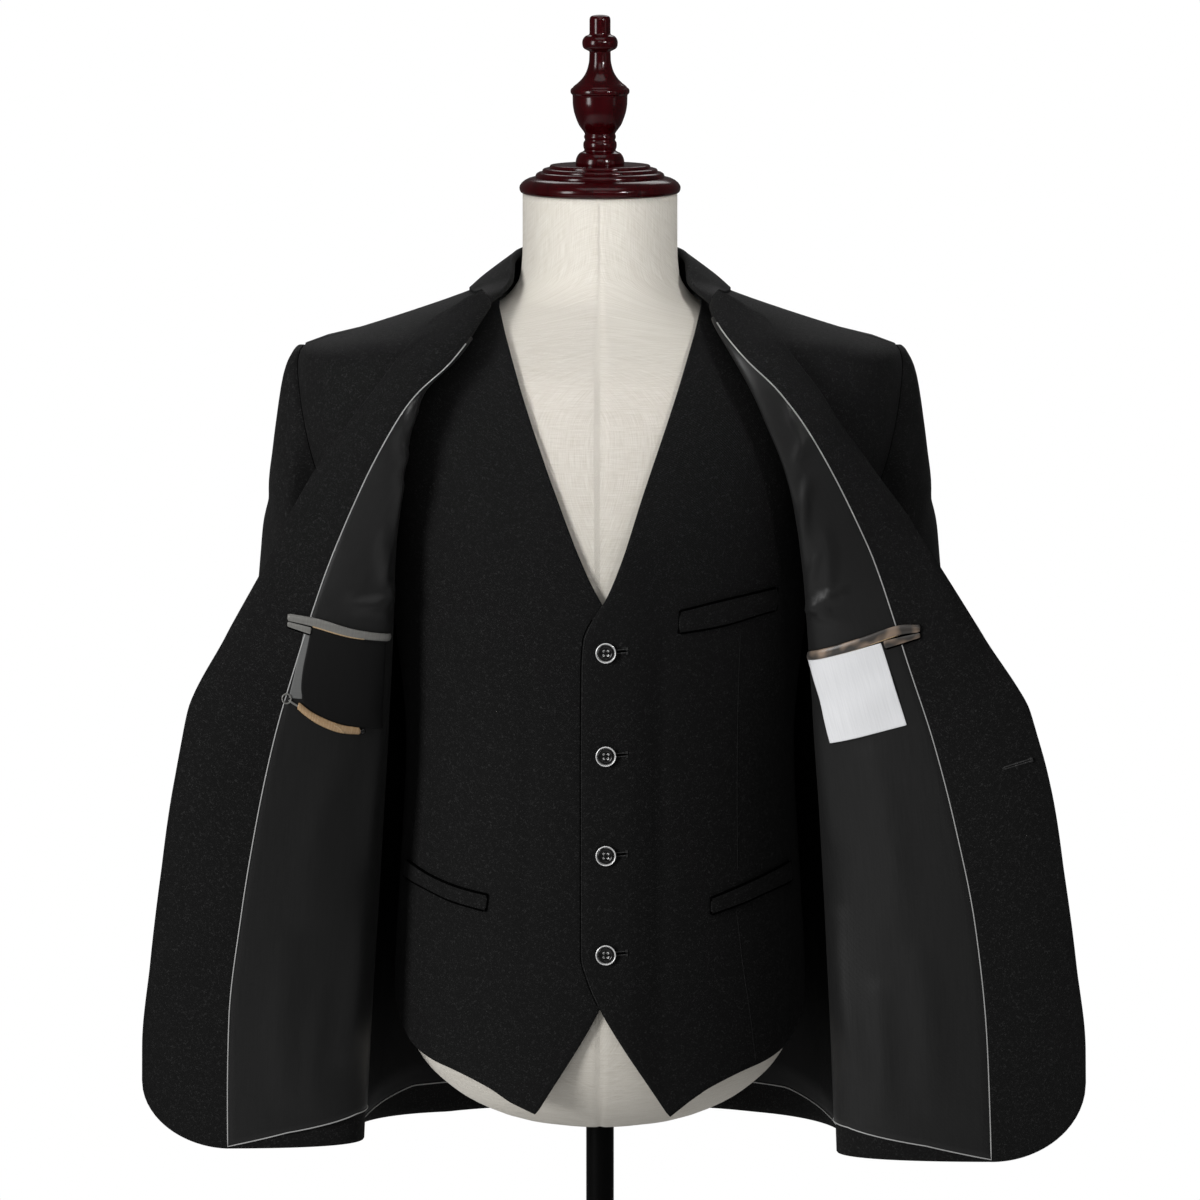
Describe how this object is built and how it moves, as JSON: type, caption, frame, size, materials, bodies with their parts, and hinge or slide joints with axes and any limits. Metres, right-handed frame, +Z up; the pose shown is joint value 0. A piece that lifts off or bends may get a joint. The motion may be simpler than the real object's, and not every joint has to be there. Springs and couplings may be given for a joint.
{
  "type": "suit jacket and waistcoat on dress form",
  "caption": "Black suit jacket, its fronts held wide open to show facing and lining, over a buttoned waistcoat, on a limbless linen dress form with turned neck cap, pole and round base.",
  "frame": {"origin": "centre of the underside of the stand's round base, on the floor", "axes": "+Z up along the pole, -Y the garment's front, +X the wearer's left (the viewer's right)"},
  "size_m": [0.7495, 0.36, 1.6983],
  "materials": {
    "wool": "matte black worsted wool",
    "lining_satin": "dark grey satin",
    "satin_tape": "grey-brown satin",
    "bronze_tape": "bronze satin",
    "piping_cord": "light grey satin cord",
    "label_satin": "white satin, bare",
    "button_horn": "dark horn with a polished rim",
    "form_linen": "natural linen",
    "mahogany": "polished dark red lacquer",
    "black_metal": "satin black"
  },
  "bodies": {
    "root": {"form_torso": "form_linen", "neck_cap": "mahogany", "finial": "mahogany", "pole": "black_metal", "base": "black_metal", "vest_front_right": "wool", "vest_front_left": "wool", "vest_back": "lining_satin", "vest_button_1": "button_horn", "vest_button_2": "button_horn", "vest_button_3": "button_horn", "vest_button_4": "button_horn", "vest_welt_right": "wool", "vest_welt_left": "wool", "vest_breast_welt": "wool", "jacket_front_right": "wool", "jacket_front_left": "wool", "facing_right": "wool", "facing_left": "wool", "lining_front_right": "lining_satin", "lining_front_left": "lining_satin", "piping_right": "piping_cord", "piping_left": "piping_cord", "jacket_back_right": "wool", "jacket_back_left": "wool", "lining_back_right": "lining_satin", "lining_back_left": "lining_satin", "sleeve_right": "wool", "sleeve_left": "wool", "cuff_button_right_1": "button_horn", "cuff_button_right_2": "button_horn", "cuff_button_right_3": "button_horn", "cuff_button_left_1": "button_horn", "cuff_button_left_2": "button_horn", "cuff_button_left_3": "button_horn", "collar": "wool", "pocket_patch_left": "wool", "inner_welt_left": "satin_tape", "inner_lip_left": "satin_tape", "small_welt_left": "bronze_tape", "inner_welt_right": "satin_tape", "inner_lip_right": "satin_tape", "label": "label_satin", "hip_flap_right": "wool", "hip_flap_left": "wool", "jacket_button": "button_horn"}
  },
  "joints": []
}
